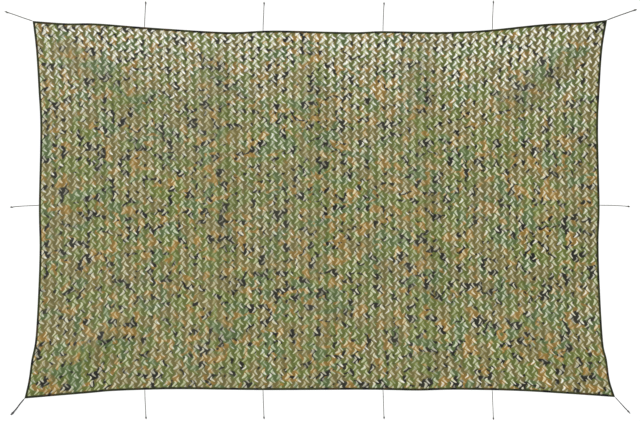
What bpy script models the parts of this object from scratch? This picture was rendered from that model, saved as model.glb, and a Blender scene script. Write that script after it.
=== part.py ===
"""A camouflage net of one piece of cut cloth, laid out flat on the ground.

+X runs along the net's length, +Y across it towards its upper edge and +Z up. The origin
is on the ground under the middle of the net. The cloth lies on the ground and rises in low
folds. Its edge sits inside a folded tape, and a short cord is tied on at each corner and
along each side. All sizes are in metres.
"""

import math

import bmesh
import bpy
import numpy as np
from mathutils import Vector

# Driving dimensions
CLOTH = 0.002  # the cut cloth with its small curls pressed down
TAPE = 0.001  # one layer of the edge tape
TAPE_WIDTH = 0.022  # the folded tape, seen from above
GAP = 0.0003  # between pieces
CORD = 0.006  # a side tie's diameter
KNOT = 0.0065  # a side tie's end knot, from its axis
KNOT_LENGTH = 0.024
KNOT_RISE = 0.030  # over which a tie climbs from the ground to its knot's axis

# How finely the cloth is divided
COLUMNS = 40
ROWS = 22
RIM = 0.045  # the cloth stays level with the tape's fold this far in
DROP = 0.035  # and comes down to the ground in this distance

# Each edge of the net, from corner to corner: (x, y) at the tape's outer fold
TOP_EDGE = (
    (-3.014, 1.976),
    (-2.664, 1.952),
    (-2.349, 1.950),
    (-1.824, 1.910),
    (-1.194, 1.869),
    (-0.879, 1.860),
    (-0.460, 1.876),
    (0.318, 1.859),
    (0.664, 1.869),
    (1.273, 1.861),
    (1.746, 1.881),
    (2.376, 1.945),
    (2.796, 1.963),
    (3.016, 1.987),
)
BOTTOM_EDGE = (
    (-3.100, -1.987),
    (-2.454, -1.933),
    (-2.139, -1.907),
    (-1.509, -1.890),
    (-0.564, -1.899),
    (0.486, -1.895),
    (1.011, -1.904),
    (1.431, -1.895),
    (2.061, -1.907),
    (2.586, -1.937),
    (3.100, -1.972),
)
LEFT_EDGE = (
    (-3.100, -1.987),
    (-3.057, -1.793),
    (-3.028, -1.583),
    (-2.987, -1.373),
    (-2.960, -0.953),
    (-2.942, -0.428),
    (-2.949, 0.034),
    (-2.934, 0.832),
    (-2.953, 1.252),
    (-2.979, 1.672),
    (-3.014, 1.976),
)
RIGHT_EDGE = (
    (3.100, -1.972),
    (3.044, -1.793),
    (3.015, -1.583),
    (2.973, -1.373),
    (2.937, -0.743),
    (2.927, -0.323),
    (2.938, 0.034),
    (2.922, 0.832),
    (2.938, 1.252),
    (2.966, 1.672),
    (3.016, 1.987),
)

# The cloth's low folds: from (x, y) to (x, y), half width, height
FOLDS = (
    (-1.12, 1.90, -1.02, -1.95, 0.27, 0.016),
    (-0.12, 1.90, 0.02, -1.95, 0.24, 0.013),
    (1.04, 1.90, 1.12, -1.95, 0.26, 0.015),
    (-2.95, 1.90, -1.75, 1.00, 0.24, 0.019),
    (2.95, 1.90, 1.80, 0.95, 0.24, 0.018),
    (-3.00, -1.90, -1.85, -1.05, 0.25, 0.020),
    (3.00, -1.90, 1.90, -1.10, 0.25, 0.019),
    (-2.95, 0.05, -2.10, 0.12, 0.20, 0.012),
    (2.95, 0.05, 2.15, -0.05, 0.20, 0.012),
)
FOLD_FADE = 0.30  # a fold dies out this far from the net's edge and from its own ends

# How many times a side tie's thickness each kind of tie has at the tape and at its knot
SIDE = (1.0, 1.0)
UPPER_CORNER = (1.0, 1.15)
LOWER_CORNER = (0.9, 1.6)

# Ties: name, kind, and the (x, y) points of the route from the tape to the knot
TIES = (
    ("tie_top_1", SIDE, ((-1.840, 1.911), (-1.838, 1.985), (-1.833, 2.088), (-1.829, 2.160))),
    ("tie_top_2", SIDE, ((-0.596, 1.872), (-0.594, 1.960), (-0.589, 2.062), (-0.586, 2.155))),
    ("tie_top_3", SIDE, ((0.663, 1.869), (0.665, 1.962), (0.669, 2.064), (0.673, 2.152))),
    ("tie_top_4", SIDE, ((1.812, 1.888), (1.813, 1.984), (1.818, 2.086), (1.821, 2.168))),
    ("tie_bottom_1", SIDE, ((-1.837, -1.894), (-1.835, -1.996), (-1.829, -2.104), (-1.826, -2.180))),
    ("tie_bottom_2", SIDE, ((-0.596, -1.899), (-0.594, -1.998), (-0.589, -2.104), (-0.587, -2.180))),
    ("tie_bottom_3", SIDE, ((0.664, -1.898), (0.667, -1.998), (0.671, -2.108), (0.673, -2.180))),
    ("tie_bottom_4", SIDE, ((1.811, -1.901), (1.814, -1.998), (1.819, -2.110), (1.821, -2.188))),
    ("tie_left", SIDE, ((-2.949, 0.041), (-3.074, 0.036), (-3.168, 0.030), (-3.230, 0.024))),
    ("tie_right", SIDE, ((2.938, 0.042), (3.058, 0.041), (3.163, 0.036), (3.232, 0.031))),
    ("tie_top_left", UPPER_CORNER, ((-3.014, 1.976), (-3.105, 2.007), (-3.210, 2.044), (-3.282, 2.068))),
    ("tie_top_right", UPPER_CORNER, ((3.016, 1.987), (3.110, 2.023), (3.226, 2.064), (3.300, 2.090))),
    (
        "tie_bottom_left",
        LOWER_CORNER,
        ((-3.100, -1.987), (-3.142, -2.035), (-3.189, -2.098), (-3.222, -2.134)),
    ),
    (
        "tie_bottom_right",
        LOWER_CORNER,
        ((3.100, -1.972), (3.147, -2.024), (3.200, -2.082), (3.232, -2.116)),
    ),
)
CORD_STEP = 3.0  # diameters between a tie's points
# A knot's sections: share of its length, share of its greatest radius
KNOT_SHAPE = ((0.18, 0.86), (0.5, 1.0), (0.8, 0.84), (0.9, 0.48), (1.0, 0.44))
BEVEL_RESOLUTION = 2

COLOURS = {
    "net": (0.21, 0.24, 0.11),
    "binding": (0.035, 0.045, 0.018),
    "tie": (0.07, 0.075, 0.05),
}


def clear_scene():
    for thing in list(bpy.data.objects):
        bpy.data.objects.remove(thing)


def material(name):
    made = bpy.data.materials.get(name)
    if made is None:
        made = bpy.data.materials.new(name)
        made.use_nodes = True
        shader = made.node_tree.nodes["Principled BSDF"]
        shader.inputs["Base Color"].default_value = (*COLOURS[name], 1.0)
        shader.inputs["Roughness"].default_value = 0.8
        shader.inputs["Metallic"].default_value = 0.0
    return made


def add_object(name, data, surface):
    data.materials.append(material(surface))
    made = bpy.data.objects.new(name, data)
    bpy.context.scene.collection.objects.link(made)
    return made


def smooth_curve(points, steps=24):
    """Points along a smooth curve through the given ones, close together."""
    known = np.array(points, dtype=float)
    before = 2 * known[0] - known[1]
    after = 2 * known[-1] - known[-2]
    padded = np.vstack([before, known, after])
    t = np.linspace(0.0, 1.0, steps, endpoint=False)[:, None]
    parts = []
    for p0, p1, p2, p3 in zip(padded, padded[1:], padded[2:], padded[3:]):
        slope_1 = (p2 - p0) / 2
        slope_2 = (p3 - p1) / 2
        cubic = 2 * p1 - 2 * p2 + slope_1 + slope_2
        square = 3 * p2 - 3 * p1 - 2 * slope_1 - slope_2
        parts.append(p1 + slope_1 * t + square * t**2 + cubic * t**3)
    return np.vstack([*parts, known[-1:]])


def at_distances(line, wanted):
    """The points of a line at the wanted distances along it."""
    steps = np.linalg.norm(np.diff(line, axis=0), axis=1)
    along = np.concatenate([[0.0], np.cumsum(steps)])
    return np.stack([np.interp(wanted, along, line[:, k]) for k in range(line.shape[1])], axis=1)


def length_of(line):
    return float(np.linalg.norm(np.diff(line, axis=0), axis=1).sum())


def stations(length, count):
    """Distances along an edge: evenly spaced, with two more near each corner."""
    inner = RIM + DROP
    middle = np.linspace(inner, length - inner, count + 1)
    return np.concatenate([[0.0, RIM], middle, [length - RIM, length]])


def divided(edge, count):
    line = smooth_curve(edge)
    return at_distances(line, stations(length_of(line), count))


def outline():
    """The tape's outer fold, anticlockwise from the lower left corner."""
    bottom = divided(BOTTOM_EDGE, COLUMNS)
    right = divided(RIGHT_EDGE, ROWS)
    top = divided(TOP_EDGE, COLUMNS)[::-1]
    left = divided(LEFT_EDGE, ROWS)[::-1]
    return np.vstack([bottom[:-1], right[:-1], top[:-1], left[:-1]])


def inset(loop, distance):
    """The loop with each of its straight pieces moved in by the distance."""
    ahead = np.roll(loop, -1, axis=0) - loop
    ahead /= np.linalg.norm(ahead, axis=1)[:, None]
    inward = np.stack([-ahead[:, 1], ahead[:, 0]], axis=1)
    behind = np.roll(inward, 1, axis=0)
    both = inward + behind
    mitre = both * 2 / (both * both).sum(axis=1)[:, None]
    return loop + mitre * distance


def sides(loop):
    """The loop's four sides: bottom, right, top and left, each with both its corners."""
    across = COLUMNS + 4
    up = ROWS + 4
    closed = np.vstack([loop, loop[:1]])
    starts = (0, across, across + up, 2 * across + up, 2 * across + 2 * up)
    return [closed[a : b + 1] for a, b in zip(starts, starts[1:])]


def patch(loop):
    """A grid of (x, y) points that fills the loop, row by row from the bottom."""
    bottom, right, top, left = sides(loop)
    top = top[::-1]
    left = left[::-1]
    u = share_along(bottom)[None, :, None]
    v = share_along(left)[:, None, None]
    across = (1 - v) * bottom[None] + v * top[None]
    upward = (1 - u) * left[:, None] + u * right[:, None]
    corners = (1 - v) * ((1 - u) * bottom[0] + u * bottom[-1])
    corners = corners + v * ((1 - u) * top[0] + u * top[-1])
    return across + upward - corners


def share_along(side):
    steps = np.linalg.norm(np.diff(side, axis=0), axis=1)
    along = np.concatenate([[0.0], np.cumsum(steps)])
    return along / along[-1]


def ease(value):
    """0 to 1 with level ends."""
    clipped = np.clip(value, 0.0, 1.0)
    return clipped * clipped * (3 - 2 * clipped)


def distance_inside(x, y, loop):
    """How far points lie from the loop."""
    runs = np.roll(loop, -1, axis=0) - loop
    nearest = np.full(x.shape, np.inf)
    for (ax, ay), (dx, dy) in zip(loop, runs):
        share = np.clip(((x - ax) * dx + (y - ay) * dy) / (dx * dx + dy * dy), 0.0, 1.0)
        nearest = np.minimum(nearest, np.hypot(x - ax - share * dx, y - ay - share * dy))
    return nearest


def fold_height(x, y, fold):
    """One soft ridge."""
    x1, y1, x2, y2, half_width, height = fold
    length = math.hypot(x2 - x1, y2 - y1)
    along = ((x - x1) * (x2 - x1) + (y - y1) * (y2 - y1)) / length
    off = ((y - y1) * (x2 - x1) - (x - x1) * (y2 - y1)) / length
    crest = np.cos(np.clip(off / half_width, -1.0, 1.0) * math.pi / 2) ** 2
    ends = ease(along / FOLD_FADE) * ease((length - along) / FOLD_FADE)
    return height * crest * ends


def cloth_height(x, y, loop):
    """The underside of the cloth above the ground."""
    inside = distance_inside(x, y, loop)
    folds = np.zeros_like(x)
    for fold in FOLDS:
        folds = np.maximum(folds, fold_height(x, y, fold))
    folds = folds * ease((inside - RIM - DROP) / FOLD_FADE)
    folds = np.where(folds < GAP, 0.0, folds)
    held = (TAPE + GAP) * (inside < RIM + DROP / 2)
    return np.maximum(folds, held)


def add_net(loop):
    """The cloth: one sheet, level in the tape and flat on the ground between its folds."""
    edge = inset(loop, TAPE + GAP)
    plan = patch(edge)
    low = cloth_height(plan[..., 0], plan[..., 1], edge)
    rows, columns = low.shape
    shape = bmesh.new()
    under = [[shape.verts.new((*plan[r, c], low[r, c])) for c in range(columns)] for r in range(rows)]
    over = [[shape.verts.new(vert.co + Vector((0, 0, CLOTH))) for vert in row] for row in under]
    for r in range(rows - 1):
        for c in range(columns - 1):
            shape.faces.new((under[r][c], under[r + 1][c], under[r + 1][c + 1], under[r][c + 1]))
            shape.faces.new((over[r][c], over[r][c + 1], over[r + 1][c + 1], over[r + 1][c]))
    ring = [(0, c) for c in range(columns)]
    ring += [(r, columns - 1) for r in range(1, rows)]
    ring += [(rows - 1, c) for c in range(columns - 2, -1, -1)]
    ring += [(r, 0) for r in range(rows - 2, 0, -1)]
    for (r1, c1), (r2, c2) in zip(ring, ring[1:] + ring[:1]):
        shape.faces.new((under[r1][c1], under[r2][c2], over[r2][c2], over[r1][c1]))
    mesh = bpy.data.meshes.new("net")
    shape.to_mesh(mesh)
    shape.free()
    add_object("net", mesh, "net")


def trimmed(side):
    """A side with both ends drawn back by the gap."""
    line = side.copy()
    for end, neighbour in ((0, 1), (-1, -2)):
        step = side[neighbour] - side[end]
        line[end] = side[end] + step / np.linalg.norm(step) * GAP
    return line


def add_binding(name, outer, spine, lip):
    """A tape folded over one side of the cloth, as a channel open to the cloth."""
    groove_low = TAPE
    groove_high = TAPE + GAP + CLOTH + GAP
    top = groove_high + TAPE
    profile = (
        (outer, 0.0),
        (lip, 0.0),
        (lip, groove_low),
        (spine, groove_low),
        (spine, groove_high),
        (lip, groove_high),
        (lip, top),
        (outer, top),
    )
    shape = bmesh.new()
    lines = [[shape.verts.new((*point, height)) for point in trimmed(line)] for line, height in profile]
    for near, far in zip(lines, lines[1:] + lines[:1]):
        for a, b, c, d in zip(near, near[1:], far[1:], far):
            shape.faces.new((a, d, c, b))
    shape.faces.new([line[0] for line in lines])
    shape.faces.new([line[-1] for line in reversed(lines)])
    bmesh.ops.recalc_face_normals(shape, faces=shape.faces)
    mesh = bpy.data.meshes.new(name)
    shape.to_mesh(mesh)
    shape.free()
    add_object(name, mesh, "binding")


def add_bindings(loop):
    names = ("binding_bottom", "binding_right", "binding_top", "binding_left")
    outer = sides(loop)
    spine = sides(inset(loop, TAPE))
    lip = sides(inset(loop, TAPE_WIDTH))
    for name, *lines in zip(names, outer, spine, lip):
        add_binding(name, *lines)


def off_the_tape(point, towards, loop):
    """The point moved out along its tie until it stands clear of the tape by the gap."""
    heading = (towards - point) / np.linalg.norm(towards - point)
    reaches = np.linspace(-0.02, 0.02, 801)
    places = point + heading * reaches[:, None]
    away = distance_inside(places[:, 0], places[:, 1], loop)
    nearest = int(np.argmin(away))
    clear = nearest + int(np.argmax(away[nearest:] > GAP * 1.5))
    return places[clear]


def tie_sections(cord_length, thin, thick):
    """A tie's sections: distance from the tape, radius, and its axis above the ground."""
    count = round(cord_length / (CORD * CORD_STEP)) + 1
    knot_radius = KNOT * thick
    knot_length = KNOT_LENGTH * thick
    sections = []
    for distance in np.linspace(0.0, cord_length, count):
        radius = CORD / 2 * (thin + (thick - thin) * distance / cord_length)
        climb = ease((distance - cord_length + KNOT_RISE) / KNOT_RISE)
        sections.append((distance, radius, radius + (knot_radius - radius) * climb))
    for share, width in KNOT_SHAPE:
        sections.append((cord_length + share * knot_length, knot_radius * width, knot_radius))
    return sections


def add_tie(name, kind, route, loop):
    """A cord from the tape along the ground, with an overhand knot in its free end."""
    thin, thick = kind
    plan = np.array(route)
    plan[0] = off_the_tape(plan[0], plan[1], loop)
    line = smooth_curve(plan)
    heading = (line[-1] - line[-2]) / np.linalg.norm(line[-1] - line[-2])
    sections = tie_sections(length_of(line), thin, thick)
    line = np.vstack([line, line[-1] + heading * KNOT_LENGTH * thick])
    places = at_distances(line, [distance for distance, _, _ in sections])
    curve = bpy.data.curves.new(name, "CURVE")
    curve.dimensions = "3D"
    curve.bevel_depth = CORD / 2
    curve.bevel_resolution = BEVEL_RESOLUTION
    curve.use_fill_caps = True
    spline = curve.splines.new("POLY")
    spline.points.add(len(sections) - 1)
    for point, (x, y), (_, radius, height) in zip(spline.points, places, sections):
        point.co = (x, y, height + GAP, 1.0)
        point.radius = radius / curve.bevel_depth
    add_object(name, curve, "tie")


def add_ties(loop):
    for name, kind, route in TIES:
        add_tie(name, kind, route, loop)


def main():
    clear_scene()
    loop = outline()
    add_net(loop)
    add_bindings(loop)
    add_ties(loop)


main()
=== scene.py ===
"""A woodland camouflage net laid out flat on a pale floor.

The cut cloth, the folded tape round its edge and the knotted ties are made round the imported
frame, in the frame's own metres: +X along the net, +Y towards its upper edge, and +Z up from the
floor.
"""

import math

import bmesh
import bpy
import numpy as np
from bpy.props import FloatProperty, FloatVectorProperty, IntProperty, PointerProperty
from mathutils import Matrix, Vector


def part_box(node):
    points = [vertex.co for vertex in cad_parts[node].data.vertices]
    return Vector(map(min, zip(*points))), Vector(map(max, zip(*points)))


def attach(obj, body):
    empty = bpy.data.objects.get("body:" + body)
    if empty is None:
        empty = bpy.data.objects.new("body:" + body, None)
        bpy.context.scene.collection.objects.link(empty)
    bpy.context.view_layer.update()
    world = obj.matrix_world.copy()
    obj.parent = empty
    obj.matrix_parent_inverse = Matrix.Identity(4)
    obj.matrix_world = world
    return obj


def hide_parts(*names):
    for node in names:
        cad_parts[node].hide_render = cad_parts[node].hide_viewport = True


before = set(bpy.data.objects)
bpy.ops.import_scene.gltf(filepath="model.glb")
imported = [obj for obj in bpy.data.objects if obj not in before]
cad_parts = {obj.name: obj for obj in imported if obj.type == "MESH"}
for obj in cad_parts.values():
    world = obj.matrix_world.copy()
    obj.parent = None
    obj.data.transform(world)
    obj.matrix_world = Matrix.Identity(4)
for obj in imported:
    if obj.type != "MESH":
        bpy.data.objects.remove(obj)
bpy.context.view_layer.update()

bl_info = {
    "name": "Camouflage net",
    "version": (1, 0, 0),
    "blender": (4, 5, 0),
    "location": "View3D > Sidebar > Net",
    "description": "Lays out a cut-cloth camouflage net with its edge tape and ties",
    "category": "Add Mesh",
}

# Each edge of the net, from corner to corner: (x, y) at the tape's outer fold
TOP_EDGE = (
    (-3.014, 1.976), (-2.664, 1.952), (-2.349, 1.950), (-1.824, 1.910),
    (-1.194, 1.869), (-0.879, 1.860), (-0.460, 1.876), (0.318, 1.859),
    (0.664, 1.869), (1.273, 1.861), (1.746, 1.881), (2.376, 1.945),
    (2.796, 1.963), (3.016, 1.987),
)
BOTTOM_EDGE = (
    (-3.100, -1.987), (-2.454, -1.933), (-2.139, -1.907), (-1.509, -1.890),
    (-0.564, -1.899), (0.486, -1.895), (1.011, -1.904), (1.431, -1.895),
    (2.061, -1.907), (2.586, -1.937), (3.100, -1.972),
)
LEFT_EDGE = (
    (-3.100, -1.987), (-3.057, -1.793), (-3.028, -1.583), (-2.987, -1.373),
    (-2.960, -0.953), (-2.942, -0.428), (-2.949, 0.034), (-2.934, 0.832),
    (-2.953, 1.252), (-2.979, 1.672), (-3.014, 1.976),
)
RIGHT_EDGE = (
    (3.100, -1.972), (3.044, -1.793), (3.015, -1.583), (2.973, -1.373),
    (2.937, -0.743), (2.927, -0.323), (2.938, 0.034), (2.922, 0.832),
    (2.938, 1.252), (2.966, 1.672), (3.016, 1.987),
)

# The cloth's low folds: from (x, y) to (x, y), half width, height
FOLDS = (
    (-1.12, 1.90, -1.02, -1.95, 0.27, 0.016),
    (-0.12, 1.90, 0.02, -1.95, 0.24, 0.013),
    (1.04, 1.90, 1.12, -1.95, 0.26, 0.015),
    (-2.95, 1.90, -1.75, 1.00, 0.24, 0.019),
    (2.95, 1.90, 1.80, 0.95, 0.24, 0.018),
    (-3.00, -1.90, -1.85, -1.05, 0.25, 0.020),
    (3.00, -1.90, 1.90, -1.10, 0.25, 0.019),
    (-2.95, 0.05, -2.10, 0.12, 0.20, 0.012),
    (2.95, 0.05, 2.15, -0.05, 0.20, 0.012),
)
FOLD_FADE = 0.30  # a fold dies out this far from the net's edge and from its own ends

# Kinds of tie, on the sides and at the corners: how many times a side tie's thickness it has at
# the tape and at its knot, and the thickness of the knot's turns as a share of the tie's own
SIDE = (1.0, 1.0, 1.0)
UPPER = (1.3, 1.3, 0.8)
LOWER = (1.4, 1.85, 0.6)

# Ties: name, kind, and the (x, y) points of the route from the tape to the knot
TIES = (
    ("tie_top_1", SIDE, ((-1.840, 1.911), (-1.838, 1.985), (-1.833, 2.088), (-1.829, 2.160))),
    ("tie_top_2", SIDE, ((-0.596, 1.872), (-0.594, 1.960), (-0.589, 2.062), (-0.586, 2.155))),
    ("tie_top_3", SIDE, ((0.663, 1.869), (0.665, 1.962), (0.669, 2.064), (0.673, 2.152))),
    ("tie_top_4", SIDE, ((1.812, 1.888), (1.813, 1.984), (1.818, 2.086), (1.821, 2.168))),
    ("tie_bottom_1", SIDE, ((-1.837, -1.894), (-1.835, -1.996), (-1.829, -2.104), (-1.826, -2.180))),
    ("tie_bottom_2", SIDE, ((-0.596, -1.899), (-0.594, -1.998), (-0.589, -2.104), (-0.587, -2.180))),
    ("tie_bottom_3", SIDE, ((0.664, -1.898), (0.667, -1.998), (0.671, -2.108), (0.673, -2.180))),
    ("tie_bottom_4", SIDE, ((1.811, -1.901), (1.814, -1.998), (1.819, -2.110), (1.821, -2.188))),
    ("tie_left", SIDE, ((-2.949, 0.041), (-3.074, 0.036), (-3.168, 0.030), (-3.230, 0.024))),
    ("tie_right", SIDE, ((2.938, 0.042), (3.058, 0.041), (3.163, 0.036), (3.232, 0.031))),
    ("tie_top_left", UPPER, ((-3.014, 1.976), (-3.105, 2.007), (-3.210, 2.044), (-3.282, 2.068))),
    ("tie_top_right", UPPER, ((3.016, 1.987), (3.110, 2.023), (3.226, 2.064), (3.300, 2.090))),
    ("tie_bottom_left", LOWER, ((-3.100, -1.987), (-3.142, -2.035), (-3.189, -2.098), (-3.222, -2.134))),
    ("tie_bottom_right", LOWER, ((3.100, -1.972), (3.147, -2.024), (3.200, -2.082), (3.232, -2.116))),
)

# The cut, in shares of one repeat and in numbered points called marks. A repeat has two joins and
# two slits: one slit falls to the left and one to the right. Four ribbons of cloth run from a left
# join to a right one, and each slit lies in the field that four ribbons close.
LEFT_JOIN = (0.10, 0.20)
RIGHT_JOIN = (0.791, 0.701)
# Ribbons: repeat of the left join, repeat of the right join, bow to the left of its run, lift at
# its middle, and how deep the painted shade on it is there; below zero a little painted highlight
RIBBONS = (
    ((0, 0), (-1, 0), 0.08, 0.02, 0.9),
    ((0, 0), (0, 0), 0.045, 0.20, -0.1),
    ((0, 1), (0, 0), 0.045, 0.20, -0.1),
    ((0, 1), (-1, 0), 0.09, 0.02, 0.9),
)
JOIN_LIFT = 0.2
# the painted shade at the joins
JOIN_SHADE = 0.5
RIBBON_STEPS = 4
# Slits: upper end, bend and lower end, whether the lip to the right of the run is the raised one,
# which mark round the field lies beyond the lower end, and the ribbons round the slit's field:
# ribbon, repeat, and whether it is followed backwards
LEFT_SLIT = (
    ((0.200, 1.070), (0.440, 0.800), (-0.040, 0.370)),
    False,
    7,
    ((3, (0, 0), False), (0, (0, 0), True), (1, (0, 0), False), (2, (0, 0), True)),
)
RIGHT_SLIT = (
    ((0.610, 0.565), (0.420, 0.270), (0.890, -0.140)),
    True,
    9,
    ((1, (0, 0), True), (2, (0, -1), False), (3, (1, -1), True), (0, (1, 0), False)),
)
SLITS = (LEFT_SLIT, RIGHT_SLIT)
# Loops round a slit: how much of a leaf's width beyond the lip, share of the rest of the way to
# the ribbons, share of the lip's lift, and the painted light there: above zero a painted highlight
# in the colour of the cloth's pale reverse, below zero painted shade
LOOPS = (
    (0.00, 0.00, 1.00, 1.0),
    (0.85, 0.08, 0.60, 1.0),
    (0.95, 0.18, 0.40, -0.6),
)
SLIT_BEND = 3.0  # how close a slit runs to its bend
RAISED_LEAF = 1.25  # the leaf's width beside the raised lip, and beside the other one
LOW_LEAF = 0.75
GAPE_PEAK = 0.589  # the greatest value of a slit's gape before it is scaled
LIP_ROUND = 0.7  # how full a lip's rise is along the slit
TIP_LIFT = 0.2  # the cloth's lift at a slit's two ends, in the lip's own height

# How far the slits differ: spread of gape in repeats, of turn in radians, and of the raised lip's
# share of the gape
GAPE_SPREAD = 0.028
TILT_SPREAD = 0.10
BALANCE_SPREAD = 0.06
BALANCE_RANGE = (0.4, 0.68)
RAISED_RANGE = (0.6, 1.2)  # a raised lip's lift, in the lip's own height
LOW_RANGE = (0.0, 0.5)
LEAF_RANGE = (0.6, 1.4)  # a leaf's width, in the usual one
PALE_RANGE = (0.3, 0.95)  # strength of a leaf's painted highlight and of the painted shade beside it
PALE_TOP = 0.25  # how much paler leaves are at the top hem, and how fast that fades going down
PALE_TOP_FADE = 3.3
PALE_FOLD = 0.25  # how much less pale they are on a fold
FOLD_REFERENCE = 0.016  # a fold's height that counts as a whole fold

# Slits gape wider up the net: by how much, from where, over what share, and how late it comes
WIDE_TOP = 0.14
WIDE_START = 0.45
WIDE_REACH = 0.52
WIDE_POWER = 2.2
# They gape less on folds and near the sides and hems: the share that is left there and, in
# repeats, how far out the gape starts to grow and how soon it is full
SIDE_GAPE = 0.25
SIDE_START = -0.1
SIDE_REACH = 1.9
HEM_GAPE = 0.4
HEM_START = -0.45
FOLD_LOSS = 0.40
AS_CUT = 0.12  # share of the gape that the slits have in the cloth's own map
ARCH = 0.024  # how far the rows arch, as a share of the net's width
ARCH_SKEW = 0.63  # below one, the arch is highest left of the middle
WANDER_SIZE = 1.6  # size of the cut's slow wandering, in repeats, and how far it goes
WANDER = 0.07
FOLD_CLEAR = 0.07  # a fold starts this far in from the rim
RIM_HELD = 0.4  # the cloth is held over this share of the tape's width
CLOTH_LOW = 0.0009  # lowest height of free cloth, and the height of its slow waves
CLOTH_WAVE = 0.0008
FOLD_FLATTENS = 25  # how much less the lips stand up on a fold, for each metre of its height

MAP = "cloth"
BAKE_MAP = "OFBake"
BAKE_MARGIN = 0.01
LEAF_PAINTED_LIGHT = "leaf"  # the cloth's painted light: a painted highlight on the leaves above zero, painted shade below it


def shade(red, green, blue):
    """A screen colour of 0 to 255 as the linear one that a shader takes."""
    parts = (value / 255 for value in (red, green, blue))
    return tuple(v / 12.92 if v <= 0.04045 else ((v + 0.055) / 1.055) ** 2.4 for v in parts)


def length_field(name, description, default):
    return FloatProperty(
        name=name, description=description, default=default, min=0.0, unit="LENGTH", precision=4
    )


def share_field(name, description, default):
    return FloatProperty(name=name, description=description, default=default, min=0.0, max=2.0)


def colour_field(name, description, screen):
    linear = shade(*screen)
    return FloatVectorProperty(
        name=name, description=description, default=linear, size=3, min=0.0, max=1.0, subtype="COLOR"
    )


TAPE_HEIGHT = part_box("binding_top")[1].z


class NetSizes(bpy.types.PropertyGroup):
    columns: IntProperty(name="Columns", description="Repeats along the net", default=68, min=8)
    rows: IntProperty(name="Rows", description="Repeats up the net", default=46, min=6)
    panels: IntProperty(name="Panels", description="Meshes that the cloth is kept in", default=4, min=1)
    seed: IntProperty(name="Seed", description="Start of the random differences", default=7, min=0)
    flat_repeat_x: length_field("Flat repeat along", "One repeat of the flat cloth, along it", 0.086)
    flat_repeat_y: length_field("Flat repeat across", "One repeat of the flat cloth, up it", 0.082)
    opening: share_field("Opening", "How far a slit gapes, as a share of one repeat", 0.025)
    leaf: share_field("Leaf", "How wide the pale leaf beside a lip is, as a share of one repeat", 0.100)
    lip: length_field("Lip", "How far a slit's raised lip stands up", 0.013)
    tape_width: length_field("Tape width", "The folded tape, seen from above", 0.022)
    tape_thick: length_field("Tape thickness", "One layer of the tape", 0.001)
    tape_height: length_field("Tape height", "The folded tape with the cloth in it", TAPE_HEIGHT)
    cord: length_field("Cord", "Diameter of a side tie", 0.006)
    gap: length_field("Gap", "Between a tie and the floor", 0.0003)
    thread: length_field("Thread", "Diameter of the sewing thread", 0.0009)


class NetColours(bpy.types.PropertyGroup):
    ground: colour_field("Ground", "The print's olive ground", (120, 110, 58))
    leaf: colour_field("Leaf", "The print's yellow green", (103, 114, 46))
    moss: colour_field("Moss", "The print's mid green", (88, 109, 60))
    earth: colour_field("Earth", "The print's ochre", (152, 118, 48))
    bark: colour_field("Bark", "The print's near black", (6, 5, 8))
    dust: colour_field("Dust", "Dust and wear in broad patches", (106, 104, 78))
    reverse: colour_field("Reverse", "The pale unprinted side of the cloth", (213, 210, 186))
    tape: colour_field("Tape", "The edge tape's dark olive", (44, 49, 18))
    tape_brown: colour_field("Tape brown", "The edge tape's brown", (60, 46, 20))
    cord: colour_field("Cord", "The grey olive of all ties but two", (80, 78, 62))
    dark_cord: colour_field("Dark cord", "The near black of the lower corner ties", (26, 25, 22))
    thread: colour_field("Thread", "The sewing thread", (52, 58, 34))
    floor: colour_field("Floor", "The pale floor", (238, 238, 238))


# Shapes in the plane


def ease(value):
    """0 to 1 with level ends."""
    clipped = np.clip(value, 0.0, 1.0)
    return clipped * clipped * (3 - 2 * clipped)


def smooth_curve(points, steps=24):
    """Points along a smooth curve through the given ones, close together."""
    known = np.array(points, dtype=float)
    before = 2 * known[0] - known[1]
    after = 2 * known[-1] - known[-2]
    padded = np.vstack([before, known, after])
    t = np.linspace(0.0, 1.0, steps, endpoint=False)[:, None]
    parts = []
    for p0, p1, p2, p3 in zip(padded, padded[1:], padded[2:], padded[3:]):
        slope_1 = (p2 - p0) / 2
        slope_2 = (p3 - p1) / 2
        cubic = 2 * p1 - 2 * p2 + slope_1 + slope_2
        square = 3 * p2 - 3 * p1 - 2 * slope_1 - slope_2
        parts.append(p1 + slope_1 * t + square * t**2 + cubic * t**3)
    return np.vstack([*parts, known[-1:]])


def unit(vectors):
    return vectors / np.linalg.norm(vectors, axis=-1, keepdims=True)


def leftward(vectors):
    """The vectors turned a quarter to the left, in the plane."""
    return np.stack([-vectors[..., 1], vectors[..., 0]], axis=-1)


def closed(line):
    return np.vstack([line, line[:1]])


def distances(line):
    steps = np.linalg.norm(np.diff(line, axis=0), axis=1)
    return np.concatenate([[0.0], np.cumsum(steps)])


def at_distances(line, wanted):
    """The points of a line at the wanted distances along it."""
    along = distances(line)
    return np.stack([np.interp(wanted, along, line[:, k]) for k in range(line.shape[1])], axis=-1)


def at_shares(line, shares):
    return at_distances(line, shares * distances(line)[-1])


def on_net(u, v):
    """(x, y) at the share u of the way along the net and v of the way up it."""
    bottom, top = (at_shares(smooth_curve(edge), u) for edge in (BOTTOM_EDGE, TOP_EDGE))
    left, right = (at_shares(smooth_curve(edge), v) for edge in (LEFT_EDGE, RIGHT_EDGE))
    u = u[..., None]
    v = v[..., None]
    low = (1 - u) * np.array(BOTTOM_EDGE[0]) + u * np.array(BOTTOM_EDGE[-1])
    high = (1 - u) * np.array(TOP_EDGE[0]) + u * np.array(TOP_EDGE[-1])
    return (1 - v) * (bottom - low) + v * (top - high) + (1 - u) * left + u * right


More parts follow.
